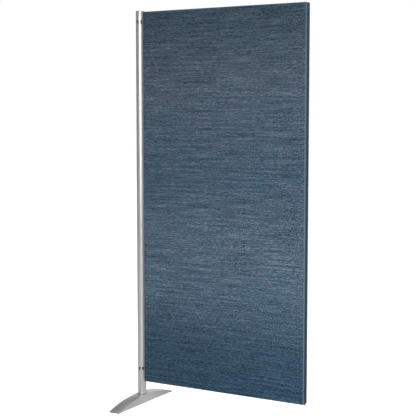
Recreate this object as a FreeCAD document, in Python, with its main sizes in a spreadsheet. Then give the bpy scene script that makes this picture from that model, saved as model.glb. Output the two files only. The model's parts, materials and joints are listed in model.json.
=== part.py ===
import FreeCAD, Part
import Sketcher
import math
import os
import re

# Add-on bay of a partition wall: one round post on an arched foot, and one
# fabric-covered panel that hangs on the post by studs in keyholes.
# Row frame, millimetres: +Z up, +X along the panel away from the post, +Y to the
# back. The origin is on the floor, on the post's axis.

SIZES = {
    # post
    "overall_height": 1750,
    "post_radius": 19,
    "post_wall": 1.5,
    "cap_plate": 3,
    "cap_lip": 0.8,
    "cap_plug_depth": 14,
    "cap_plug_wall": 1.6,
    "gasket_plate": 1.2,
    "insert_height": 27,
    # arched foot
    "foot_length": 440,
    "foot_rise": 38,
    "foot_tip_top": 2.8,
    "foot_width": 54,
    "foot_plate": 3,
    "web_plate": 2.5,
    "web_lift": 3,
    "glide_plate": 2,
    "glide_length": 22,
    "glide_inset": 3,
    "saddle_length": 50,
    "saddle_bottom": 20,
    "bolt_radius": 5,
    "bolt_head_radius": 8,
    "bolt_head_height": 10,
    "bolt_socket_radius": 4.6,
    "bolt_socket_depth": 5,
    "bolt_reach": 45,
    "bolt_hole_radius": 5.5,
    "washer_radius": 10,
    "washer_plate": 2,
    # panel
    "panel_bottom": 100,
    "panel_height": 1645,
    "panel_length": 787,
    "panel_gap": 5,
    "panel_thickness": 36,
    "board_core": 8,
    "fabric_skin": 1,
    "fabric_edge_radius": 1.6,
    "board_edge_radius": 1.5,
    "frame_recess": 4,
    "frame_face": 22,
    "frame_wall": 1.5,
    "plug_plate": 2,
    "plug_depth": 18,
    "block_length": 26,
    "screw_radius": 2.5,
    "screw_head_radius": 4.5,
    "screw_head_plate": 1.6,
    "screw_reach": 42,
    "clip_disc_radius": 6,
    "clip_disc_plate": 1.6,
    "clip_stem_radius": 2.8,
    "clip_stem_reach": 8,
    "strip_plate": 1.8,
    "strip_lip": 1.3,
    "strip_tab_width": 8,
    "strip_tab_drop": 6,
    # studs and keyholes
    "stud_inset": 50,
    "stud_head_radius": 3.8,
    "stud_head_plate": 2.5,
    "stud_head_gap": 0.8,
    "stud_neck_radius": 2.2,
    "stud_collar_radius": 5,
    "stud_collar_gap": 0.3,
    "stud_thread_radius": 3,
    "stud_thread_reach": 13,
    "stud_bevel": 0.6,
    "rivet_flange_radius": 5.5,
    "rivet_flange_plate": 0.8,
    "rivet_radius": 4.4,
    "rivet_reach": 14,
    "keyhole_entry_radius": 4.25,
    "keyhole_slot_half": 2.5,
    "keyhole_drop": 9,
    "keyhole_count": 8,
    # clearances
    "slip": 0.1,
    "contact": 0.05,
}

# Derived places, written once in the spreadsheet's names.
POST_BORE = "(post_radius - post_wall)"
ARCH_SAG = "(foot_rise - foot_tip_top)"
ARCH_RADIUS = f"((foot_length^2/4 + {ARCH_SAG}^2)/(2*{ARCH_SAG}))"
ARCH_CENTRE = f"(foot_rise - {ARCH_RADIUS})"
UNDER_ARCH = f"({ARCH_RADIUS} - foot_plate - contact)"
TUBE_BOTTOM = "(foot_rise + gasket_plate)"
TUBE_TOP = "(overall_height - cap_plate)"
PANEL_LEFT = "(post_radius + panel_gap)"
PANEL_RIGHT = f"({PANEL_LEFT} + panel_length)"
PANEL_TOP = "(panel_bottom + panel_height)"
BAY_PITCH = f"({PANEL_RIGHT} + {PANEL_LEFT})"
FRAME_DEPTH = "(panel_thickness - 2*board_core - 2*fabric_skin)"
FRAME_LEFT = f"({PANEL_LEFT} + frame_recess)"
FRAME_RIGHT = f"({PANEL_RIGHT} - frame_recess)"
FRAME_BOTTOM = "(panel_bottom + frame_recess)"
FRAME_TOP = f"({PANEL_TOP} - frame_recess)"
RAIL_LEFT = f"({FRAME_LEFT} + frame_face)"
RAIL_RIGHT = f"({FRAME_RIGHT} - frame_face)"
RAIL_HEIGHTS = {
    "bottom": f"({FRAME_BOTTOM} + frame_face/2)",
    "middle": f"(panel_bottom + panel_height/2)",
    "top": f"({FRAME_TOP} - frame_face/2)",
}
STUD_HEIGHTS = {
    "lower": "(panel_bottom + stud_inset)",
    "upper": f"({PANEL_TOP} - stud_inset)",
}
CLIP_SHARES = (0.12, 0.37, 0.63, 0.88)

# The two ends of the panel: where its post stands, and which way is outward.
ENDS = {"left": ("0", "+"), "right": (BAY_PITCH, "-")}
# The two faces of the panel: -1 is the front, +1 the back.
FACES = {"front": -1, "back": 1}

TURN_TO_X = FreeCAD.Rotation(FreeCAD.Vector(0, 1, 0), 90)
TURN_TO_Y = FreeCAD.Rotation(FreeCAD.Vector(1, 0, 0), -90)
NO_TURN = FreeCAD.Rotation()
H_AXIS = -1
V_AXIS = -2
START_POINT = 1
END_POINT = 2
CENTRE_POINT = 3

doc = FreeCAD.newDocument("PartitionBay")
sheet = doc.addObject("Spreadsheet::Sheet", "Sizes")
nodes = {}


def fill_sheet():
    for row, (alias, value) in enumerate(SIZES.items(), start=1):
        sheet.set(f"A{row}", alias)
        sheet.set(f"B{row}", str(value))
        sheet.setAlias(f"B{row}", alias)
    doc.recompute()


def bound(expression):
    """The expression with each size's name pointing at its cell."""
    return re.sub(r"[a-z_]+", lambda m: "Sizes." + m[0] if m[0] in SIZES else m[0], expression)


def bind(item, path, expression):
    item.setExpression(path, bound(expression))


def place(item, x="0", y="0", z="0", turn=NO_TURN):
    item.Placement = FreeCAD.Placement(FreeCAD.Vector(), turn)
    for axis, expression in zip("xyz", (x, y, z)):
        if expression != "0":
            bind(item, f"Placement.Base.{axis}", expression)
    return item


def keep(label, item):
    """Gives the finished sub-part its name and puts it on the export list."""
    doc.recompute()
    item.Label = label
    nodes[label] = item
    return item


# ---------------------------------------------------------------- primitives


def box(name, x, y, z, length, width, height):
    item = doc.addObject("Part::Box", name)
    for prop, expression in (("Length", length), ("Width", width), ("Height", height)):
        bind(item, prop, expression)
    return place(item, x, y, z)


def rod(name, radius, height, x="0", y="0", z="0", turn=NO_TURN):
    item = doc.addObject("Part::Cylinder", name)
    bind(item, "Radius", radius)
    bind(item, "Height", height)
    return place(item, x, y, z, turn)


def cut(name, base, tool):
    item = doc.addObject("Part::Cut", name)
    item.Base = base
    item.Tool = tool
    return item


def common(name, first, second):
    item = doc.addObject("Part::Common", name)
    item.Base = first
    item.Tool = second
    return item


def fuse(name, items):
    item = doc.addObject("Part::MultiFuse", name)
    item.Shapes = items
    return item


def group(name, items):
    """Several separate solids that share one node."""
    item = doc.addObject("Part::Compound", name)
    item.Links = items
    return item


# ---------------------------------------------------------------- part design


def new_body(name):
    return doc.addObject("PartDesign::Body", name)


def new_sketch(body, plane):
    sketch = body.newObject("Sketcher::SketchObject", f"{body.Name}_sketch")
    origin_plane = next(f for f in body.Origin.OriginFeatures if f.Role == plane)
    sketch.AttachmentSupport = [(origin_plane, "")]
    sketch.MapMode = "FlatFace"
    return sketch


def pin_point(sketch, geometry, point, across, along):
    """Fixes one sketch point at two bound distances from the sketch's origin."""
    for kind, axis, expression in (("DistanceX", V_AXIS, across), ("DistanceY", H_AXIS, along)):
        if expression == "0":
            sketch.addConstraint(Sketcher.Constraint("PointOnObject", geometry, point, axis))
        else:
            index = sketch.addConstraint(
                Sketcher.Constraint(kind, H_AXIS, START_POINT, geometry, point, 1.0)
            )
            bind(sketch, f"Constraints[{index}]", expression)


def outline(sketch, points):
    """A closed polygon whose corners are pairs of expressions."""
    count = len(points)
    first = sketch.GeometryCount
    ring = [
        FreeCAD.Vector(math.cos(2 * math.pi * i / count), math.sin(2 * math.pi * i / count), 0)
        for i in range(count)
    ]
    for i in range(count):
        sketch.addGeometry(Part.LineSegment(ring[i], ring[(i + 1) % count]), False)
    for i in range(count):
        following = first + (i + 1) % count
        sketch.addConstraint(
            Sketcher.Constraint("Coincident", first + i, END_POINT, following, START_POINT)
        )
    for i, (across, along) in enumerate(points):
        pin_point(sketch, first + i, START_POINT, across, along)


def rectangle(left, bottom, right, top):
    return [(left, bottom), (right, bottom), (right, top), (left, top)]


def circle(sketch, radius, across, along):
    index = sketch.addGeometry(
        Part.Circle(FreeCAD.Vector(1, 1, 0), FreeCAD.Vector(0, 0, 1), 1.0), False
    )
    size = sketch.addConstraint(Sketcher.Constraint("Radius", index, 1.0))
    bind(sketch, f"Constraints[{size}]", radius)
    pin_point(sketch, index, CENTRE_POINT, across, along)


def pad(body, sketch, length):
    item = body.newObject("PartDesign::Pad", f"{body.Name}_pad")
    item.Profile = sketch
    bind(item, "Length", length)
    sketch.Visibility = False
    return item


def turned(name, plane, points, axis):
    """A solid of revolution, its profile given as corner expressions."""
    body = new_body(name)
    sketch = new_sketch(body, plane)
    outline(sketch, points)
    item = body.newObject("PartDesign::Revolution", f"{name}_turn")
    item.Profile = sketch
    item.ReferenceAxis = (sketch, [axis])
    item.Angle = 360
    return body


def prism(name, plane, outlines, length):
    body = new_body(name)
    sketch = new_sketch(body, plane)
    for points in outlines:
        outline(sketch, points)
    pad(body, sketch, length)
    return body


# ---------------------------------------------------------------- the foot


def arch_solid(name, radius, half_width, height_from, half_length):
    """The part of a long horizontal cylinder that lies in a box on the floor."""
    barrel = rod(f"{name}_barrel", radius, f"2*({half_width})", x=f"-({half_width})",
                 z=ARCH_CENTRE, turn=TURN_TO_X)
    window = box(f"{name}_window", f"-({half_width})", f"-({half_length})", height_from,
                 f"2*({half_width})", f"2*({half_length})", "foot_rise")
    return common(name, barrel, window)


def make_foot():
    outer = arch_solid("ArchOuter", ARCH_RADIUS, "foot_width/2", "glide_plate", "foot_length/2")
    hollow = rod("ArchHollow", f"{ARCH_RADIUS} - foot_plate", "2*foot_width", x="-foot_width",
                 z=ARCH_CENTRE, turn=TURN_TO_X)
    bolt_way = rod("ArchBoltWay", "bolt_hole_radius", "2*foot_rise")
    keep("foot_arch", cut("Arch", outer, fuse("ArchTools", [hollow, bolt_way])))

    for side, left in (("left", "-foot_width/2"), ("right", "foot_width/2 - web_plate")):
        barrel = rod(f"Web_{side}_barrel", UNDER_ARCH, "web_plate", x=left, z=ARCH_CENTRE,
                     turn=TURN_TO_X)
        window = box(f"Web_{side}_window", left, "-foot_length/2", "web_lift", "web_plate",
                     "foot_length", "foot_rise")
        keep(f"foot_web_{side}", common(f"Web_{side}", barrel, window))

    saddle = arch_solid("SaddleBlank", UNDER_ARCH, "(foot_width/2 - web_plate - slip)",
                        "saddle_bottom", "saddle_length/2")
    saddle_way = rod("SaddleWay", "bolt_hole_radius", "2*foot_rise")
    keep("foot_saddle_block", cut("Saddle", saddle, saddle_way))

    for face, side in FACES.items():
        outer_edge = "(foot_length/2 - slip)"
        low_y = f"-{outer_edge}" if side < 0 else f"{outer_edge} - glide_length"
        glide = prism(f"Glide_{face}", "XY_Plane", [rectangle(
            "-foot_width/2 + glide_inset", low_y,
            "foot_width/2 - glide_inset", f"{low_y} + glide_length")], "glide_plate - contact")
        keep(f"foot_glide_{face}", glide)


def make_foot_bolt():
    head_bottom = "(saddle_bottom - contact - washer_plate - contact - bolt_head_height)"
    shank = f"({head_bottom} + bolt_head_height)"
    bolt = turned("Bolt", "XZ_Plane", [
        ("0", f"{head_bottom} + bolt_socket_depth"),
        ("bolt_socket_radius", f"{head_bottom} + bolt_socket_depth"),
        ("bolt_socket_radius", head_bottom),
        ("bolt_head_radius", head_bottom),
        ("bolt_head_radius", shank),
        ("bolt_radius", shank),
        ("bolt_radius", f"{shank} + bolt_reach"),
        ("0", f"{shank} + bolt_reach"),
    ], "V_Axis")
    keep("foot_bolt", bolt)
    ring = cut("Washer", rod("WasherDisc", "washer_radius", "washer_plate"),
               rod("WasherHole", "bolt_radius + slip", "washer_plate"))
    keep("foot_bolt_washer", place(ring, z="saddle_bottom - contact - washer_plate"))


# ---------------------------------------------------------------- the post


def keyhole_pocket(body, name, draw):
    sketch = new_sketch(body, "YZ_Plane")
    draw(sketch)
    item = body.newObject("PartDesign::Pocket", name)
    item.Profile = sketch
    item.Reversed = True
    bind(item, "Length", "2*post_radius")
    return item


def make_post_tube():
    body = new_body("PostTube")
    ring = new_sketch(body, "XY_Plane")
    circle(ring, "post_radius", "0", "0")
    circle(ring, POST_BORE, "0", "0")
    pad(body, ring, f"{TUBE_TOP} - {TUBE_BOTTOM}")
    doc.recompute()
    plain_volume = body.Shape.Volume

    # The neck rests a contact gap above the bottom of its slot.
    seats = [f"({h} - {TUBE_BOTTOM} + keyhole_slot_half - stud_neck_radius - contact)"
             for h in STUD_HEIGHTS.values()]

    def entries(sketch):
        for seat in seats:
            circle(sketch, "keyhole_entry_radius", "0", f"{seat} + keyhole_drop")

    def slots(sketch):
        for seat in seats:
            outline(sketch, rectangle("-keyhole_slot_half", seat, "keyhole_slot_half",
                                      f"{seat} + keyhole_drop"))

    def feet(sketch):
        for seat in seats:
            circle(sketch, "keyhole_slot_half", "0", seat)

    pockets = [keyhole_pocket(body, name, draw) for name, draw in
               (("KeyholeEntry", entries), ("KeyholeSlot", slots), ("KeyholeSeat", feet))]
    doc.recompute()
    pattern = body.newObject("PartDesign::PolarPattern", "KeyholeRing")
    pattern.Originals = pockets
    pattern.Axis = (ring, ["N_Axis"])
    pattern.Angle = 360
    bind(pattern, "Occurrences", "keyhole_count")
    body.Tip = pattern
    place(body, z=TUBE_BOTTOM)
    doc.recompute()
    print("keyholes removed", round(plain_volume - body.Shape.Volume, 1), "mm3")
    keep("post_tube", body)


def make_post_fittings():
    lip = "(post_radius + cap_lip)"
    plug = f"({POST_BORE} - slip)"
    plug_bottom = f"({TUBE_TOP} - cap_plug_depth)"
    keep("post_top_cap", turned("TopCap", "XZ_Plane", [
        ("0", "overall_height"),
        (f"{lip} - 1", "overall_height"),
        (lip, "overall_height - 1"),
        (lip, f"{TUBE_TOP} + contact"),
        (plug, f"{TUBE_TOP} + contact"),
        (plug, plug_bottom),
        (f"{plug} - cap_plug_wall", plug_bottom),
        (f"{plug} - cap_plug_wall", TUBE_TOP),
        ("0", TUBE_TOP),
    ], "V_Axis"))

    insert = cut("BaseInsert", rod("InsertRod", f"{POST_BORE} - slip", "insert_height"),
                 rod("InsertThread", "bolt_radius + contact", "insert_height"))
    keep("post_base_insert", place(insert, z=TUBE_BOTTOM))

    disc = rod("GasketDisc", "post_radius", "2*gasket_plate",
               z=f"{TUBE_BOTTOM} - contact - 2*gasket_plate")
    barrel = rod("GasketSeat", f"{ARCH_RADIUS} + contact", "foot_width", x="-foot_width/2",
                 z=ARCH_CENTRE, turn=TURN_TO_X)
    way = rod("GasketWay", "bolt_hole_radius", "2*foot_rise")
    keep("post_base_gasket", cut("Gasket", disc, fuse("GasketTools", [barrel, way])))


# ---------------------------------------------------------------- panel frame


def stile_holes(end):
    """Cutters for one stile: rivet-nut holes outside, screw holes right through,
    and clip holes in both faces."""
    post_x, way = ENDS[end]
    outer_face = FRAME_LEFT if end == "left" else FRAME_RIGHT
    from_left = "- frame_wall" if end == "left" else "- 2*frame_wall"
    cutters = []
    for level, height in STUD_HEIGHTS.items():
        cutters.append(rod(f"RivetHole_{end}_{level}", "rivet_radius + slip", "3*frame_wall",
                           x=f"{outer_face} {from_left}", z=height, turn=TURN_TO_X))
    for level, height in RAIL_HEIGHTS.items():
        left = FRAME_LEFT if end == "left" else RAIL_RIGHT
        cutters.append(rod(f"ScrewHole_{end}_{level}", "screw_radius + slip",
                           "frame_face + 2*frame_wall", x=f"{left} - frame_wall", z=height,
                           turn=TURN_TO_X))
    cutters += clip_rods(f"ClipHole_{end}", "clip_stem_radius + slip", f"-{FRAME_DEPTH}/2 - 1",
                         f"{FRAME_DEPTH} + 2", [stile_middle(end)])
    return cutters


def stile_middle(end):
    return f"({FRAME_LEFT} + frame_face/2)" if end == "left" else f"({FRAME_RIGHT} - frame_face/2)"


def clip_rods(name, radius, start_y, length, columns):
    return [
        rod(f"{name}_{i}_{j}", radius, length, x=x, y=start_y,
            z=f"panel_bottom + {share}*panel_height", turn=TURN_TO_Y)
        for i, x in enumerate(columns) for j, share in enumerate(CLIP_SHARES)
    ]


def make_stiles():
    for end in ENDS:
        left = FRAME_LEFT if end == "left" else RAIL_RIGHT
        bar = prism(f"Stile_{end}_bar", "XY_Plane", [
            rectangle(left, f"-{FRAME_DEPTH}/2 + contact",
                      f"{left} + frame_face", f"{FRAME_DEPTH}/2 - contact"),
            rectangle(f"{left} + frame_wall", f"-{FRAME_DEPTH}/2 + frame_wall",
                      f"{left} + frame_face - frame_wall", f"{FRAME_DEPTH}/2 - frame_wall"),
        ], f"{FRAME_TOP} - {FRAME_BOTTOM}")
        place(bar, z=FRAME_BOTTOM)
        keep(f"frame_stile_{end}", cut(f"Stile_{end}", bar, fuse(f"StileTools_{end}", stile_holes(end))))

        plugs = []
        for level, edge, way in (("bottom", FRAME_BOTTOM, "+"), ("top", FRAME_TOP, "-")):
            plate_z = f"{edge} - plug_plate - contact" if way == "+" else f"{edge} + contact"
            peg_z = f"{edge} - contact" if way == "+" else f"{edge} + contact - plug_depth"
            wall = "(frame_wall + slip)"
            plate = box(f"PlugPlate_{end}_{level}", left, f"-{FRAME_DEPTH}/2 + slip", plate_z,
                        "frame_face", f"{FRAME_DEPTH} - 2*slip", "plug_plate")
            peg = box(f"PlugPeg_{end}_{level}", f"{left} + {wall}", f"-{FRAME_DEPTH}/2 + {wall}",
                      peg_z, f"frame_face - 2*{wall}", f"{FRAME_DEPTH} - 2*{wall}",
                      "plug_depth")
            # The rail screw crosses the peg, so the peg has a wide hole for it.
            hole = rod(f"PlugWay_{end}_{level}", "screw_radius + 4*slip", "2*frame_face",
                       x=f"{left} - frame_face/2", z=RAIL_HEIGHTS[level], turn=TURN_TO_X)
            plugs.append(cut(f"Plug_{end}_{level}",
                             fuse(f"PlugBlank_{end}_{level}", [plate, peg]), hole))
        keep(f"stile_plugs_{end}", group(f"StilePlugs_{end}", plugs))


def make_rails():
    blocks = []
    screws = []
    for level, height in RAIL_HEIGHTS.items():
        left, right = f"({RAIL_LEFT} + contact)", f"({RAIL_RIGHT} - contact)"
        rail = prism(f"Rail_{level}", "YZ_Plane", [
            rectangle(f"-{FRAME_DEPTH}/2 + contact", f"{height} - frame_face/2",
                      f"{FRAME_DEPTH}/2 - contact", f"{height} + frame_face/2"),
            rectangle(f"-{FRAME_DEPTH}/2 + frame_wall", f"{height} - frame_face/2 + frame_wall",
                      f"{FRAME_DEPTH}/2 - frame_wall", f"{height} + frame_face/2 - frame_wall"),
        ], f"{right} - {left}")
        keep(f"frame_rail_{level}", place(rail, x=left))
        for end, (post_x, way) in ENDS.items():
            wall = "(frame_wall + slip)"
            block_x = f"{left} + slip" if end == "left" else f"{right} - slip - block_length"
            blank = box(f"BlockBlank_{end}_{level}", block_x, f"-{FRAME_DEPTH}/2 + {wall}",
                        f"{height} - frame_face/2 + {wall}", "block_length",
                        f"{FRAME_DEPTH} - 2*{wall}", f"frame_face - 2*{wall}")
            thread = rod(f"BlockThread_{end}_{level}", "screw_radius + contact",
                         "block_length", x=block_x, z=height, turn=TURN_TO_X)
            blocks.append(cut(f"Block_{end}_{level}", blank, thread))
            screws.append(frame_screw(end, level, height))
    keep("rail_end_blocks", group("RailEndBlocks", blocks))
    keep("frame_screws", group("FrameScrews", screws))


def frame_screw(end, level, height):
    """A low-headed screw through the stile into the block in the rail's end."""
    face = FRAME_LEFT if end == "left" else FRAME_RIGHT
    way = ENDS[end][1]
    back = "-" if way == "+" else "+"
    head = f"({face} {back} contact)"
    screw = turned(f"Screw_{end}_{level}", "XZ_Plane", [
        (f"{head} {back} screw_head_plate", "0"),
        (f"{head} {back} screw_head_plate", "screw_head_radius - stud_bevel"),
        (f"{head} {back} screw_head_plate {way} stud_bevel", "screw_head_radius"),
        (head, "screw_head_radius"),
        (head, "screw_radius"),
        (f"{head} {way} screw_reach", "screw_radius"),
        (f"{head} {way} screw_reach", "0"),
    ], "H_Axis")
    return place(screw, z=height)


# ---------------------------------------------------------------- studs


def make_studs():
    """A rivet nut at each corner of the panel, and on the post's side a headed stud in each:
    its head goes into the post. The free end's nuts stay empty until a next bay follows."""
    rivets = []
    for end, (post_x, way) in ENDS.items():
        head_face = f"({POST_BORE} - stud_head_gap)"
        collar = "(post_radius + stud_collar_gap)"
        flange = f"({FRAME_LEFT} - rivet_flange_plate - contact)"
        thread_end = f"({flange} + stud_thread_reach)"
        tip = f"({head_face} - stud_head_plate)"
        profile = [
            (tip, "0"), (tip, "stud_head_radius - stud_bevel"),
            (f"{tip} + stud_bevel", "stud_head_radius"), (head_face, "stud_head_radius"),
            (head_face, "stud_neck_radius"), (collar, "stud_neck_radius"),
            (collar, "stud_collar_radius"), (f"{flange} - contact", "stud_collar_radius"),
            (f"{flange} - contact", "stud_thread_radius"), (thread_end, "stud_thread_radius"),
            (thread_end, "0"),
        ]
        rivet_start = f"({FRAME_LEFT} - contact)"
        rivet_profile = [
            (flange, "stud_thread_radius + contact"), (flange, "rivet_flange_radius"),
            (rivet_start, "rivet_flange_radius"), (rivet_start, "rivet_radius"),
            (f"{rivet_start} + rivet_reach", "rivet_radius"),
            (f"{rivet_start} + rivet_reach", "stud_thread_radius + contact"),
        ]
        for level, height in STUD_HEIGHTS.items():
            if end == "left":
                stud = turned(f"Stud_{level}", "XZ_Plane", profile, "H_Axis")
                keep(f"hook_stud_{level}", place(stud, z=height))
            rivet = turned(f"Rivet_{end}_{level}", "XZ_Plane",
                           [(f"{post_x} {way} ({u})", r) for u, r in rivet_profile], "H_Axis")
            rivets.append(place(rivet, z=height))
    keep("stud_rivet_nuts", group("StudRivetNuts", rivets))


# ---------------------------------------------------------------- boards and covers


def slab(name, face, inset, front, depth, radius=None):
    """An upright slab. front is its outer face's distance from the panel's middle plane,
    and radius rounds that face's rim."""
    side = FACES[face]
    body = new_body(name)
    sketch = new_sketch(body, "XZ_Plane")
    outline(sketch, rectangle(f"{PANEL_LEFT} + ({inset})", f"panel_bottom + ({inset})",
                              f"{PANEL_RIGHT} - ({inset})", f"{PANEL_TOP} - ({inset})"))
    blank = pad(body, sketch, depth)
    # The sketch's normal is -Y: the pad runs from its start towards the front.
    start = f"{depth} - ({front})" if side < 0 else front
    place(body, y=start)
    if radius is None:
        return body
    doc.recompute()
    outer_y = min(v.Y for v in blank.Shape.Vertexes) if side < 0 else max(
        v.Y for v in blank.Shape.Vertexes)
    rim = [f"Edge{i}" for i, edge in enumerate(blank.Shape.Edges, start=1)
           if any(abs(v.Y - outer_y) < 0.01 for v in edge.Vertexes)]
    rounding = body.newObject("PartDesign::Fillet", f"{name}_rounding")
    rounding.Base = (blank, rim)
    bind(rounding, "Radius", radius)
    return body


def make_covers():
    core_front = "(panel_thickness/2 - fabric_skin)"
    for face, side in FACES.items():
        board = slab(f"Board_{face}", face, "fabric_skin + contact",
                     f"{core_front} - contact", "board_core - contact", "board_edge_radius")
        pockets = clip_rods(f"BoardPocket_{face}", "clip_disc_radius + slip",
                            face_start(side, f"{FRAME_DEPTH}/2 - contact",
                                       "clip_disc_plate + contact + slip"),
                            "clip_disc_plate + contact + slip",
                            [stile_middle("left"), stile_middle("right")])
        keep(f"board_{face}", cut(f"DrilledBoard_{face}", board,
                                  fuse(f"BoardTools_{face}", pockets)))
        skin = slab(f"Skin_{face}", face, "0", "panel_thickness/2",
                    "board_core + fabric_skin", "fabric_edge_radius")
        void = slab(f"SkinVoid_{face}", face, "fabric_skin", core_front, "board_core")
        keep(f"fabric_{face}", cut(f"Fabric_{face}", skin, void))

        discs = clip_rods(f"ClipDisc_{face}", "clip_disc_radius",
                          face_start(side, f"{FRAME_DEPTH}/2 + contact", "clip_disc_plate"),
                          "clip_disc_plate", [stile_middle("left"), stile_middle("right")])
        stems = clip_rods(f"ClipStem_{face}", "clip_stem_radius",
                          face_start(side, f"{FRAME_DEPTH}/2 + contact - clip_stem_reach",
                                     "clip_stem_reach + clip_disc_plate/2"),
                          "clip_stem_reach + clip_disc_plate/2",
                          [stile_middle("left"), stile_middle("right")])
        clips = [fuse(f"Clip_{face}_{i}", list(pair)) for i, pair in enumerate(zip(discs, stems))]
        keep(f"board_clips_{face}", group(f"BoardClips_{face}", clips))


def face_start(side, near, depth):
    """The lower Y of a rod that runs from near, outwards by depth, on the front or back."""
    return f"-({near}) - ({depth})" if side < 0 else near


def make_core_pads():
    """Sound-absorbing filling in the two windows of the frame."""
    levels = list(RAIL_HEIGHTS.values())
    for name, below, above in (("lower", *levels[:2]), ("upper", *levels[1:])):
        bottom = f"({below} + frame_face/2 + slip)"
        core = box(f"Core_{name}", f"{RAIL_LEFT} + slip", f"-{FRAME_DEPTH}/2 + slip", bottom,
                   f"{RAIL_RIGHT} - {RAIL_LEFT} - 2*slip", f"{FRAME_DEPTH} - 2*slip",
                   f"{above} - frame_face/2 - slip - {bottom}")
        keep(f"core_pad_{name}", core)


def make_edge_strip():
    """The dark strip that closes the gap between the boards at the free end. Its narrow
    tab hangs below the panel."""
    half = f"({FRAME_DEPTH}/2 - 4*slip)"
    web = f"({FRAME_RIGHT} + screw_head_plate + 2*slip)"
    channel = prism("StripChannel", "XY_Plane", [[
        (f"{FRAME_RIGHT} + contact", f"-{half}"),
        (f"{web} + strip_plate", f"-{half}"),
        (f"{web} + strip_plate", half),
        (f"{FRAME_RIGHT} + contact", half),
        (f"{FRAME_RIGHT} + contact", f"{half} - strip_lip"),
        (web, f"{half} - strip_lip"),
        (web, f"-{half} + strip_lip"),
        (f"{FRAME_RIGHT} + contact", f"-{half} + strip_lip"),
    ]], f"{FRAME_TOP} - {FRAME_BOTTOM}")
    place(channel, z=FRAME_BOTTOM)
    tab = box("StripTab", web, "-strip_tab_width/2", "panel_bottom - strip_tab_drop",
              "strip_plate", "strip_tab_width", "strip_tab_drop + 2*frame_recess")
    stud_ways = [rod(f"StripWay_{level}", "rivet_flange_radius + 4*slip", "2*frame_face",
                     x=f"{FRAME_RIGHT} - frame_face", z=height, turn=TURN_TO_X)
                 for level, height in STUD_HEIGHTS.items()]
    keep("edge_strip", cut("EdgeStrip", fuse("StripBlank", [channel, tab]),
                           fuse("StripTools", stud_ways)))


# ---------------------------------------------------------------- build


def check_and_export():
    doc.recompute()
    failed = [o.Name for o in doc.Objects if {"Invalid", "Error"} & set(o.State)]
    if failed:
        raise RuntimeError(f"objects that did not recompute: {failed}")
    os.makedirs("parts", exist_ok=True)
    for label, item in nodes.items():
        shape = item.Shape
        if shape.isNull() or not shape.isValid() or not shape.Solids:
            raise RuntimeError(f"{label} has no valid solid")
        shape.exportStep(f"parts/{label}.step")
        limits = shape.BoundBox
        print(f"{label:24s} solids {len(shape.Solids):2d}  volume {shape.Volume:12.1f}  "
              f"x {limits.XMin:8.2f} {limits.XMax:8.2f}  y {limits.YMin:8.2f} {limits.YMax:8.2f}  "
              f"z {limits.ZMin:8.2f} {limits.ZMax:8.2f}")


fill_sheet()
make_foot()
make_foot_bolt()
make_post_tube()
make_post_fittings()
make_stiles()
make_rails()
make_studs()
make_covers()
make_core_pads()
make_edge_strip()
check_and_export()
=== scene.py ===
import json
import math

import bmesh
import bpy
from mathutils import Euler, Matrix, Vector, noise

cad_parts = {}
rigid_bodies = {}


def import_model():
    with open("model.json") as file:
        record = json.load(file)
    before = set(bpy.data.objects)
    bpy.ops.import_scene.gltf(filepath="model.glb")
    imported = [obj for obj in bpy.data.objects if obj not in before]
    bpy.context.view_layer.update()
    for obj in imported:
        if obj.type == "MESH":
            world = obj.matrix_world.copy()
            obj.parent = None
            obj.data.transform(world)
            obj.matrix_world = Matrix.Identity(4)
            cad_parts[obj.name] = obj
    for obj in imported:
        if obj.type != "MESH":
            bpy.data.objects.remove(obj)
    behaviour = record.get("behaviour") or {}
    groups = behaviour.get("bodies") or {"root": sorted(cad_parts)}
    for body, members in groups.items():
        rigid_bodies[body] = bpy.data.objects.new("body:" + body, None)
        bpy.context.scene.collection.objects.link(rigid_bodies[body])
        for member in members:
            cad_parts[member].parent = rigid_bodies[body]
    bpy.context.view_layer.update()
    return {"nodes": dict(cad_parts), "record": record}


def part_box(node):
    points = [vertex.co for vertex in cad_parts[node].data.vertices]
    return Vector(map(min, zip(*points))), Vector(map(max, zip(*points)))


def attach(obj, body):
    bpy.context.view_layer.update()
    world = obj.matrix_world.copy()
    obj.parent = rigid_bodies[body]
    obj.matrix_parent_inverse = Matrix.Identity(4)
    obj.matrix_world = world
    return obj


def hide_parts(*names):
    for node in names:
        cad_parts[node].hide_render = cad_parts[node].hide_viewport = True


# A fresh Blender file's cube, camera and lamp aren't part of the object.
for leftover in list(bpy.data.objects):
    bpy.data.objects.remove(leftover, do_unlink=True)

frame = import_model()
NODES = frame["nodes"]
MM = 0.001


# ---------------------------------------------------------------- materials


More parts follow.
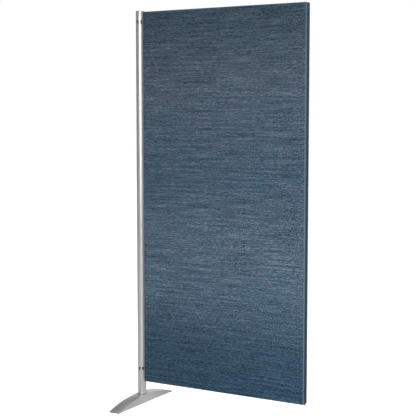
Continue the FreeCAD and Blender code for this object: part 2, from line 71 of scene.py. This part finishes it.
class Tree:
    """Short names for building a material's nodes."""

    def __init__(self, name):
        self.material = bpy.data.materials.new(name)
        self.material.use_nodes = True
        self.nodes = self.material.node_tree.nodes
        self.links = self.material.node_tree.links
        self.shader = self.nodes["Principled BSDF"]

    def add(self, kind, **settings):
        node = self.nodes.new(kind)
        for key, value in settings.items():
            setattr(node, key, value)
        return node

    def put(self, socket, value):
        """Sets an input to a number or colour, or links it to another node's output."""
        if isinstance(value, bpy.types.NodeSocket):
            self.links.new(value, socket)
        else:
            socket.default_value = value

    def set(self, **inputs):
        for name, value in inputs.items():
            self.put(self.shader.inputs[name.replace("_", " ")], value)

    def place(self):
        return self.add("ShaderNodeTexCoord").outputs["Object"]

    def stretched(self, coords, scale, shift=(0, 0, 0)):
        node = self.add("ShaderNodeMapping", vector_type="POINT")
        self.put(node.inputs["Vector"], coords)
        node.inputs["Scale"].default_value = scale
        node.inputs["Location"].default_value = shift
        return node.outputs["Vector"]

    def noise(self, coords, scale=1.0, detail=2.0, roughness=0.5):
        node = self.add("ShaderNodeTexNoise")
        self.put(node.inputs["Vector"], coords)
        node.inputs["Scale"].default_value = scale
        node.inputs["Detail"].default_value = detail
        node.inputs["Roughness"].default_value = roughness
        return node.outputs["Fac"]

    def math(self, operation, first, second=0.0, third=None):
        node = self.add("ShaderNodeMath", operation=operation)
        self.put(node.inputs[0], first)
        self.put(node.inputs[1], second)
        if third is not None:
            self.put(node.inputs[2], third)
        return node.outputs[0]

    def remap(self, value, low, high, to_low, to_high):
        node = self.add("ShaderNodeMapRange")
        for index, item in enumerate((value, low, high, to_low, to_high)):
            self.put(node.inputs[index], item)
        return node.outputs[0]

    def ramp(self, value, stops):
        node = self.add("ShaderNodeValToRGB")
        points = node.color_ramp.elements
        while len(points) < len(stops):
            points.new(0.5)
        for point, (position, colour) in zip(points, stops):
            point.position = position
            point.color = (*colour, 1.0)
        self.put(node.inputs["Fac"], value)
        return node.outputs["Color"]

    def mix(self, factor, first, second, blend="MIX"):
        node = self.add("ShaderNodeMix", data_type="RGBA", blend_type=blend)
        self.put(node.inputs["Factor"], factor)
        for socket, value in ((node.inputs[6], first), (node.inputs[7], second)):
            self.put(socket, value if isinstance(value, bpy.types.NodeSocket) else (*value, 1.0))
        return node.outputs[2]

    def bump(self, height, distance, strength=1.0):
        node = self.add("ShaderNodeBump")
        self.put(node.inputs["Height"], height)
        node.inputs["Distance"].default_value = distance
        node.inputs["Strength"].default_value = strength
        self.put(self.shader.inputs["Normal"], node.outputs["Normal"])


def srgb(red, green, blue):
    """Linear values for a colour given as 0 to 255."""
    return tuple(
        c / 12.92 if c <= 0.04045 else ((c + 0.055) / 1.055) ** 2.4
        for c in (red / 255, green / 255, blue / 255)
    )


# The cloth: its tone from its lower edge (0) to its upper edge (1), partly banding in the cloth
# and partly painted light (lighter across the middle, darker towards the top and bottom), the
# painted highlight on its rounded edge, its lower and upper edge's height, its yarns' spacing, and
# what each kind of streak adds.
CLOTH_TONE_AND_PAINTED_LIGHT = [
    (0.00, (0.34, 0.53, 0.64)), (0.12, (0.42, 0.58, 0.66)), (0.26, (0.84, 0.90, 0.94)),
    (0.40, (0.94, 0.92, 0.92)), (0.56, (0.64, 0.71, 0.76)), (0.80, (0.83, 0.76, 0.76)),
    (1.00, (0.46, 0.50, 0.53)),
]
EDGE_PAINTED_HIGHLIGHT = srgb(92, 106, 119)
CLOTH_LOW, CLOTH_HIGH = 0.1, 1.745
WARP_PITCH, WEFT_PITCH = 0.0013, 0.0011
SLUB_SHARE, FINE_SHARE, STREAK_SHARE = 0.26, 0.50, 0.24


def melange_fabric():
    """A flat woven cloth of navy, teal, blue-grey and lilac yarns, with slubs along the weft."""
    t = Tree("melange_fabric")
    # Flat cloth coordinates in metres, and in the third place how strongly the painted highlight
    # on the cloth's rounded edge shows.
    cloth = t.add("ShaderNodeAttribute", attribute_name="cloth").outputs["Vector"]
    parts = t.add("ShaderNodeSeparateXYZ")
    t.put(parts.inputs[0], cloth)
    weft_way, warp_way, edge_highlight_mask = parts.outputs
    slub = t.noise(t.stretched(cloth, (48, 260, 0)), detail=2.0, roughness=0.6)
    fine = t.noise(t.stretched(cloth, (215, 290, 0), (3, 7, 2)), detail=2.0)
    streak = t.noise(t.stretched(cloth, (5, 105, 0), (11, 5, 4)), detail=3.0, roughness=0.65)
    hue = t.noise(t.stretched(cloth, (16, 130, 0), (23, 17, 9)), detail=2.5)
    level = t.math("ADD", t.math("MULTIPLY", slub, SLUB_SHARE),
                   t.math("MULTIPLY", fine, FINE_SHARE))
    level = t.math("ADD", level, t.math("MULTIPLY", streak, STREAK_SHARE))
    cool = t.ramp(level, [
        (0.37, srgb(4, 15, 24)), (0.445, srgb(35, 57, 71)), (0.515, srgb(60, 86, 100)),
        (0.62, srgb(108, 134, 146)),
    ])
    greyed = t.ramp(level, [
        (0.37, srgb(9, 15, 29)), (0.445, srgb(47, 59, 76)), (0.515, srgb(76, 88, 105)),
        (0.62, srgb(128, 136, 150)),
    ])
    colour = t.mix(t.remap(hue, 0.40, 0.60, 0.0, 1.0), cool, greyed)
    # The cloth's tone changes along its height in broad soft bands: partly banding in the cloth,
    # partly painted light, lighter across the middle and darker towards the top and bottom.
    tone_and_painted_light = t.ramp(t.remap(warp_way, CLOTH_LOW, CLOTH_HIGH, 0.0, 1.0), CLOTH_TONE_AND_PAINTED_LIGHT)
    colour = t.mix(1.0, colour, tone_and_painted_light, "MULTIPLY")
    # Painted highlight: paler where the cloth is pulled round the board's edge, as if it caught
    # the light there.
    painted_edge_highlight = t.math("MULTIPLY", edge_highlight_mask, t.remap(slub, 0.35, 0.65, 0.65, 1.0))
    colour = t.mix(painted_edge_highlight, colour, EDGE_PAINTED_HIGHLIGHT)
    # The weave itself: warp over weft, a little over a millimetre apart. Its crests are painted
    # lighter and its hollows darker: painted shade of the yarns' relief, on top of the bump.
    wobble = t.math("MULTIPLY", t.noise(t.stretched(cloth, (90, 90, 0)), detail=1.0), 2.6)
    across = t.math("SINE", t.math("MULTIPLY_ADD", weft_way, 2 * math.pi / WARP_PITCH, wobble))
    along = t.math("SINE", t.math("MULTIPLY_ADD", warp_way, 2 * math.pi / WEFT_PITCH, wobble))
    weave = t.math("MULTIPLY", across, along)
    weave_painted_shade = t.remap(weave, -1.0, 1.0, 0.96, 1.44)
    shade = t.add("ShaderNodeVectorMath", operation="SCALE")
    t.put(shade.inputs[0], colour)
    t.put(shade.inputs["Scale"], weave_painted_shade)
    height = t.math("ADD", t.math("MULTIPLY", weave, 0.5), t.math("MULTIPLY", slub, 1.6))
    t.bump(height, 0.00035, 0.8)
    t.set(Base_Color=shade.outputs["Vector"], Roughness=t.remap(fine, 0.3, 0.7, 0.80, 0.95))
    t.set(Sheen_Weight=0.25, Sheen_Roughness=0.45, Specular_IOR_Level=0.25)
    t.shader.inputs["Sheen Tint"].default_value = (*srgb(170, 190, 208), 1.0)
    return t.material


def painted_silver(name="silver_paint", colour=(0.60, 0.597, 0.585), metallic=0.65, rough=0.32,
                   painted_shade_within=0.0):
    """Smooth silver powder coat: fine orange peel, flake and a little handling wear.

    Closer than the given radius to the post's axis there's no paint, and the inner wall is near
    black and not metallic: painted shade for the inside of the tube."""
    t = Tree(name)
    here = t.place()
    peel = t.noise(here, 900, 2.0)
    flake = t.noise(here, 5200, 1.0)
    handling = t.noise(t.stretched(here, (1, 1, 0.35)), 26, 4.0, 0.6)
    dark = tuple(c * 0.90 for c in colour)
    light = tuple(min(c * 1.06, 1.0) for c in colour)
    tone = t.mix(t.remap(handling, 0.35, 0.65, 0.25, 0.75), dark, light)
    flake_tone_and_inside_shade = t.mix(t.remap(flake, 0.42, 0.62, 0.0, 0.5), tone, light)
    t.bump(t.math("ADD", peel, t.math("MULTIPLY", flake, 0.25)), 0.00006, 0.35)
    t.set(Metallic=metallic,
          Roughness=t.remap(handling, 0.3, 0.7, rough - 0.04, rough + 0.06))
    if painted_shade_within:
        # Painted shade: inside the tube the colour is near black and not metallic.
        away = t.add("ShaderNodeVectorMath", operation="LENGTH")
        t.put(away.inputs[0], t.stretched(here, (1, 1, 0)))
        painted_inside_shade = t.math("LESS_THAN", away.outputs["Value"], painted_shade_within)
        flake_tone_and_inside_shade = t.mix(painted_inside_shade, flake_tone_and_inside_shade, (0.012, 0.012, 0.013))
        t.set(Metallic=t.remap(painted_inside_shade, 0.0, 1.0, metallic, 0.0))
    t.set(Base_Color=flake_tone_and_inside_shade)
    t.set(Coat_Weight=0.12, Coat_Roughness=0.25)
    return t.material


def moulded_plastic(name, colour, rough=0.5):
    """Matt moulded plastic with a spark-eroded texture."""
    t = Tree(name)
    here = t.place()
    grain = t.noise(here, 2600, 2.0)
    cloud = t.noise(here, 38, 3.0)
    tone = t.mix(t.remap(cloud, 0.35, 0.65, 0.0, 1.0), tuple(c * 0.88 for c in colour),
                 tuple(min(c * 1.12, 1.0) for c in colour))
    t.bump(grain, 0.00005, 0.5)
    t.set(Base_Color=tone, Roughness=t.remap(cloud, 0.3, 0.7, rough - 0.05, rough + 0.08))
    return t.material


def zinc_steel():
    """Zinc-plated turned steel: fine rings and a cloudy passivated tint."""
    t = Tree("zinc_steel")
    here = t.place()
    cloud = t.noise(here, 160, 4.0, 0.6)
    lathe = t.noise(t.stretched(here, (3800, 240, 240)), detail=1.0)
    tone = t.ramp(cloud, [(0.35, (0.45, 0.46, 0.48)), (0.6, (0.66, 0.66, 0.64))])
    t.bump(lathe, 0.00003, 0.5)
    t.set(Base_Color=tone, Metallic=1.0, Roughness=t.remap(cloud, 0.3, 0.7, 0.28, 0.42))
    return t.material


def mill_aluminium():
    """Extruded aluminium tube: die lines along its length."""
    t = Tree("mill_aluminium")
    here = t.place()
    lines = t.noise(t.stretched(here, (1500, 1500, 14)), detail=3.0)
    cloud = t.noise(here, 45, 3.0)
    tone = t.ramp(cloud, [(0.3, (0.55, 0.56, 0.57)), (0.7, (0.68, 0.685, 0.69))])
    t.bump(lines, 0.00004, 0.4)
    t.set(Base_Color=tone, Metallic=1.0, Roughness=t.remap(lines, 0.3, 0.7, 0.30, 0.46))
    return t.material


def fibre_board():
    """Soft pin board: short pressed wood fibres."""
    t = Tree("fibre_board")
    here = t.place()
    fibre = t.noise(t.stretched(here, (900, 900, 260)), detail=4.0, roughness=0.65)
    cloud = t.noise(here, 60, 3.0)
    tone = t.ramp(fibre, [(0.3, (0.16, 0.10, 0.055)), (0.55, (0.33, 0.23, 0.14)),
                          (0.75, (0.46, 0.35, 0.23))])
    tone = t.mix(t.remap(cloud, 0.3, 0.7, 0.0, 0.35), tone, (0.30, 0.22, 0.14))
    t.bump(fibre, 0.0003, 0.7)
    t.set(Base_Color=tone, Roughness=t.remap(fibre, 0.3, 0.7, 0.82, 0.96))
    return t.material


def honeycomb_paper():
    """Edge-on paper honeycomb filling."""
    t = Tree("honeycomb_paper")
    here = t.place()
    cells = t.add("ShaderNodeTexVoronoi", feature="DISTANCE_TO_EDGE")
    t.put(cells.inputs["Vector"], t.stretched(here, (1, 0, 1)))
    cells.inputs["Scale"].default_value = 90
    cells.inputs["Randomness"].default_value = 0.25
    wall = t.remap(cells.outputs["Distance"], 0.03, 0.12, 1.0, 0.0)
    paper = t.noise(here, 420, 3.0)
    tone = t.mix(wall, (0.10, 0.07, 0.045), t.ramp(paper, [(0.3, (0.36, 0.27, 0.17)),
                                                        (0.7, (0.50, 0.39, 0.26))]))
    t.bump(wall, 0.0006, 0.8)
    t.set(Base_Color=tone, Roughness=t.remap(paper, 0.3, 0.7, 0.80, 0.95))
    return t.material


def soft_rubber():
    t = Tree("soft_rubber")
    here = t.place()
    dust = t.noise(here, 300, 4.0, 0.6)
    tone = t.ramp(dust, [(0.4, (0.018, 0.018, 0.019)), (0.75, (0.055, 0.054, 0.052))])
    t.bump(t.noise(here, 1800, 2.0), 0.00006, 0.5)
    t.set(Base_Color=tone, Roughness=t.remap(dust, 0.3, 0.7, 0.60, 0.82))
    return t.material


FABRIC = melange_fabric()
MATERIALS = {
    "silver_paint": painted_silver(),
    "silver_cap": painted_silver("silver_cap", (0.38, 0.378, 0.37), 0.4, 0.42),
    "zinc_steel": zinc_steel(),
    "mill_aluminium": mill_aluminium(),
    "black_nylon": moulded_plastic("black_nylon", (0.022, 0.022, 0.024), 0.55),
    "black_rubber": soft_rubber(),
    "navy_plastic": moulded_plastic("navy_plastic", srgb(22, 46, 66), 0.7),
    "soft_board": fibre_board(),
    "honeycomb_core": honeycomb_paper(),
    "blue_melange_fabric": FABRIC,
}
SLOT_OF = {entry["node"]: entry["material_slot"] for entry in frame["record"]["subparts"]}
for node_name, node_object in NODES.items():
    for material_slot in node_object.material_slots:
        material_slot.material = MATERIALS[SLOT_OF[node_name]]
# Only the outside of the post is powder-coated; its inside wall is near black, painted shade that
# keeps the keyholes dark.
for material_slot in NODES["post_tube"].material_slots:
    material_slot.material = painted_silver("post_paint", painted_shade_within=0.0185)


# ---------------------------------------------------------------- fabric covers

# The cover's section, from the face round the board's edge and in behind it:
# (distance in from the panel's edge, distance from the panel's middle plane), in mm.
SECTION = [
    (4.5, 18.00), (3.4, 17.90), (2.4, 17.60), (1.5, 17.05), (0.8, 16.35), (0.3, 15.45),
    (0.05, 14.45), (0.0, 13.30), (0.0, 12.00), (0.0, 10.60), (0.15, 9.85), (0.55, 9.35),
    (1.2, 9.10), (2.2, 9.05), (3.6, 9.05),
]
CORNER = 3.2
CORNER_STEPS = 5
CELL = 16.0


def cover_outline(x0, x1, z0, z1, inset):
    """Points round the panel at one inset, with the outward direction at each."""
    across = max(2, round((x1 - x0) / CELL))
    upward = max(2, round((z1 - z0) / CELL))
    radius = max(CORNER - inset, 0.0)
    hold = max(CORNER, inset)
    left, right, low, high = x0 + hold, x1 - hold, z0 + hold, z1 - hold
    points = []
    sides = (
        ((left, low), (right, low), (0, -1), across),
        ((right, low), (right, high), (1, 0), upward),
        ((right, high), (left, high), (0, 1), across),
        ((left, high), (left, low), (-1, 0), upward),
    )
    for start, end, out, count in sides:
        turn = math.atan2(out[1], out[0])
        for i in range(count + 1):
            share = i / count
            x = start[0] + (end[0] - start[0]) * share + out[0] * radius
            z = start[1] + (end[1] - start[1]) * share + out[1] * radius
            points.append((x, z, *out))
        for i in range(1, CORNER_STEPS):
            angle = turn + math.pi / 2 * i / CORNER_STEPS
            c, s = math.cos(angle), math.sin(angle)
            points.append((end[0] + radius * c, end[1] + radius * s, c, s))
    return points, across, upward


def make_cover(name, node, side):
    """The cloth stretched over one board, as one sheet. side is -1 at the front, 1 at the back."""
    low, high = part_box(node)
    x0, x1, z0, z1 = (v / MM for v in (low[0], high[0], low[2], high[2]))
    bm = bmesh.new()
    flat = bm.verts.layers.float_vector.new("cloth")
    shift = 0.0 if side < 0 else 3.0

    def vertex(x, y, z, u, v, edge_highlight_mask=0.0):
        item = bm.verts.new((x * MM, side * y * MM, z * MM))
        item[flat] = (u * MM + shift, v * MM, edge_highlight_mask)
        return item

    face_inset, face_y = SECTION[0]
    rim, across, upward = cover_outline(x0, x1, z0, z1, face_inset)
    left, right = x0 + face_inset, x1 - face_inset
    bottom, top = z0 + face_inset, z1 - face_inset
    grid = []
    for j in range(upward + 1):
        row = []
        for i in range(across + 1):
            x = left + (right - left) * i / across
            z = bottom + (top - bottom) * j / upward
            # Slack of a tenth or two of a millimetre that fades to nothing at the edge.
            near = min(x - left, right - x, z - bottom, top - z) / 60
            slack = 0.12 * min(near, 1.0) * (noise.noise((x / 140, side * 3, z / 210)) - 0.3)
            row.append(vertex(x, face_y + slack, z, x, z))
        grid.append(row)
    for j in range(upward):
        for i in range(across):
            bm.faces.new((grid[j][i], grid[j][i + 1], grid[j + 1][i + 1], grid[j + 1][i]))

    # The rim of the grid, in the outline's order; a corner's steps share its vertex.
    ring = []
    for edge in (
        [grid[0][i] for i in range(across + 1)],
        [grid[j][across] for j in range(upward + 1)],
        [grid[upward][i] for i in range(across, -1, -1)],
        [grid[j][0] for j in range(upward, -1, -1)],
    ):
        ring += edge + [edge[-1]] * (CORNER_STEPS - 1)
    travel = 0.0
    for (inset_a, y_a), (inset_b, y_b) in zip(SECTION, SECTION[1:]):
        travel += math.hypot(inset_b - inset_a, y_b - y_a)
        # How strongly the painted highlight shows: full round the face's rounded edge, a little at
        # the start of the board's side, none further in.
        edge_highlight_mask = 1.0 if y_b > 14 and inset_b < 3 else 0.3 if y_b > 13 else 0.0
        points = cover_outline(x0, x1, z0, z1, inset_b)[0]
        following = [
            vertex(x, y_b, z, rx + travel * ox, rz + travel * oz, edge_highlight_mask)
            for (x, z, ox, oz), (rx, rz, _, _) in zip(points, rim)
        ]
        count = len(ring)
        for i in range(count):
            k = (i + 1) % count
            corners = [ring[i], following[i], following[k], ring[k]]
            distinct = list(dict.fromkeys(corners))
            if len(distinct) > 2:
                bm.faces.new(distinct)
        ring = following
    bmesh.ops.remove_doubles(bm, verts=bm.verts, dist=0.000004)
    bmesh.ops.recalc_face_normals(bm, faces=bm.faces)
    mesh = bpy.data.meshes.new(name)
    bm.to_mesh(mesh)
    bm.free()
    mesh.shade_smooth()
    cover = bpy.data.objects.new(name, mesh)
    bpy.context.scene.collection.objects.link(cover)
    middle = next(p for p in mesh.polygons if abs(p.normal.y) > 0.9)
    cloth = cover.modifiers.new("cloth_thickness", "SOLIDIFY")
    cloth.thickness = 0.8 * MM
    cloth.offset = -1.0 if middle.normal.y * side > 0 else 1.0
    cover.data.materials.append(FABRIC)
    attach(cover, "panel")
    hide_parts(node)
    # Of the part turned in behind the board, only the first 4 mm can be seen and is made.
    return cover


make_cover("cloth_cover_front", "fabric_front", -1)
make_cover("cloth_cover_back", "fabric_back", 1)


# ---------------------------------------------------------------- edges of the metal and plastic


def soften(node, width, segments=2, angle=35):
    """A small rounded edge, as paint or moulding leaves it."""
    piece = NODES[node]
    weld = piece.modifiers.new("joined", "WELD")
    weld.merge_threshold = 0.00001
    edge = piece.modifiers.new("soft_edges", "BEVEL")
    edge.width = width * MM
    edge.segments = segments
    edge.limit_method = "ANGLE"
    edge.angle_limit = math.radians(angle)
    edge.harden_normals = False


for node_name in ("foot_arch", "foot_web_left", "foot_web_right"):
    soften(node_name, 0.5)
for node_name in ("foot_glide_front", "foot_glide_back"):
    soften(node_name, 0.4)


# ---------------------------------------------------------------- floor, light and camera


def make_floor():
    mesh = bpy.data.meshes.new("floor")
    reach = 14.0
    mesh.from_pydata([(-reach, -reach, 0), (reach, -reach, 0), (reach, reach, 0),
                      (-reach, reach, 0)], [], [(0, 1, 2, 3)])
    floor = bpy.data.objects.new("floor", mesh)
    bpy.context.scene.collection.objects.link(floor)
    floor.location.z = -0.0003
    t = Tree("pale_floor")
    cloud = t.noise(t.place(), 1.2, 3.0)
    t.set(Base_Color=t.mix(cloud, (0.74, 0.74, 0.74), (0.78, 0.78, 0.78)), Roughness=0.8)
    t.set(Specular_IOR_Level=0.2)
    seen = t.add("ShaderNodeLightPath").outputs["Is Camera Ray"]
    t.shader.inputs["Emission Color"].default_value = (1, 1, 1, 1)
    t.put(t.shader.inputs["Emission Strength"], t.math("MULTIPLY", seen, 0.82))
    floor.data.materials.append(t.material)


def make_world():
    world = bpy.data.worlds.new("studio")
    bpy.context.scene.world = world
    world.use_nodes = True
    nodes, links = world.node_tree.nodes, world.node_tree.links
    nodes.clear()
    seen = nodes.new("ShaderNodeBackground")
    seen.inputs["Color"].default_value = (1, 1, 1, 1)
    seen.inputs["Strength"].default_value = 1.0
    lit = nodes.new("ShaderNodeBackground")
    ray = nodes.new("ShaderNodeTexCoord")
    parts = nodes.new("ShaderNodeSeparateXYZ")
    links.new(ray.outputs["Generated"], parts.inputs[0])

    def fade(axis, start, end, low, high):
        node = nodes.new("ShaderNodeMapRange")
        node.interpolation_type = "SMOOTHSTEP"
        links.new(parts.outputs[axis], node.inputs["Value"])
        for key, value in (("From Min", start), ("From Max", end), ("To Min", low),
                           ("To Max", high)):
            node.inputs[key].default_value = value
        return node.outputs["Result"]

    def join(operation, first, second):
        node = nodes.new("ShaderNodeMath")
        node.operation = operation
        links.new(first, node.inputs[0])
        links.new(second, node.inputs[1])
        return node.outputs[0]

    # Dark to the left, paler to the right, and a pale low wall at the back.
    wall = join("MULTIPLY", fade("Y", 0.35, 0.80, 0.0, 1.1), fade("Z", 0.12, 0.46, 1.0, 0.0))
    links.new(join("ADD", fade("X", -0.5, 0.7, 0.09, 0.60), wall), lit.inputs["Color"])
    lit.inputs["Strength"].default_value = 1.0
    path = nodes.new("ShaderNodeLightPath")
    mix = nodes.new("ShaderNodeMixShader")
    links.new(path.outputs["Is Camera Ray"], mix.inputs["Fac"])
    links.new(lit.outputs[0], mix.inputs[1])
    links.new(seen.outputs[0], mix.inputs[2])
    out = nodes.new("ShaderNodeOutputWorld")
    links.new(mix.outputs[0], out.inputs["Surface"])


def softbox(name, position, target, width, height, watts, in_gloss=True):
    light = bpy.data.lights.new(name, "AREA")
    light.shape = "RECTANGLE"
    light.size = width
    light.size_y = height
    light.energy = watts
    item = bpy.data.objects.new(name, light)
    bpy.context.scene.collection.objects.link(item)
    item.location = position
    aim = Vector(target) - Vector(position)
    item.rotation_euler = aim.to_track_quat("-Z", "Y").to_euler()
    item.visible_camera = False
    item.visible_glossy = in_gloss
    return item


def make_camera():
    data = bpy.data.cameras.new("camera")
    data.sensor_width = 36.0
    data.lens = 90.17
    data.clip_end = 100
    camera = bpy.data.objects.new("camera", data)
    bpy.context.scene.collection.objects.link(camera)
    camera.location = (2.5916, -3.8581, 1.2807)
    camera.rotation_euler = Euler((math.radians(90 - 4.92), 0, math.radians(30.21)), "XYZ")
    bpy.context.scene.camera = camera


make_floor()
make_world()
softbox("key", (1.45, -3.0, 1.75), (0.2, 0, 1.45), 1.8, 1.5, 46)
softbox("front_fill", (1.15, -1.55, 0.85), (0.75, 0, 0.85), 0.9, 0.9, 14, in_gloss=False)
softbox("overhead", (0.3, 0.4, 3.4), (0.3, 0, 0), 2.5, 2.5, 40)
make_camera()
bpy.context.scene.view_settings.view_transform = "Standard"
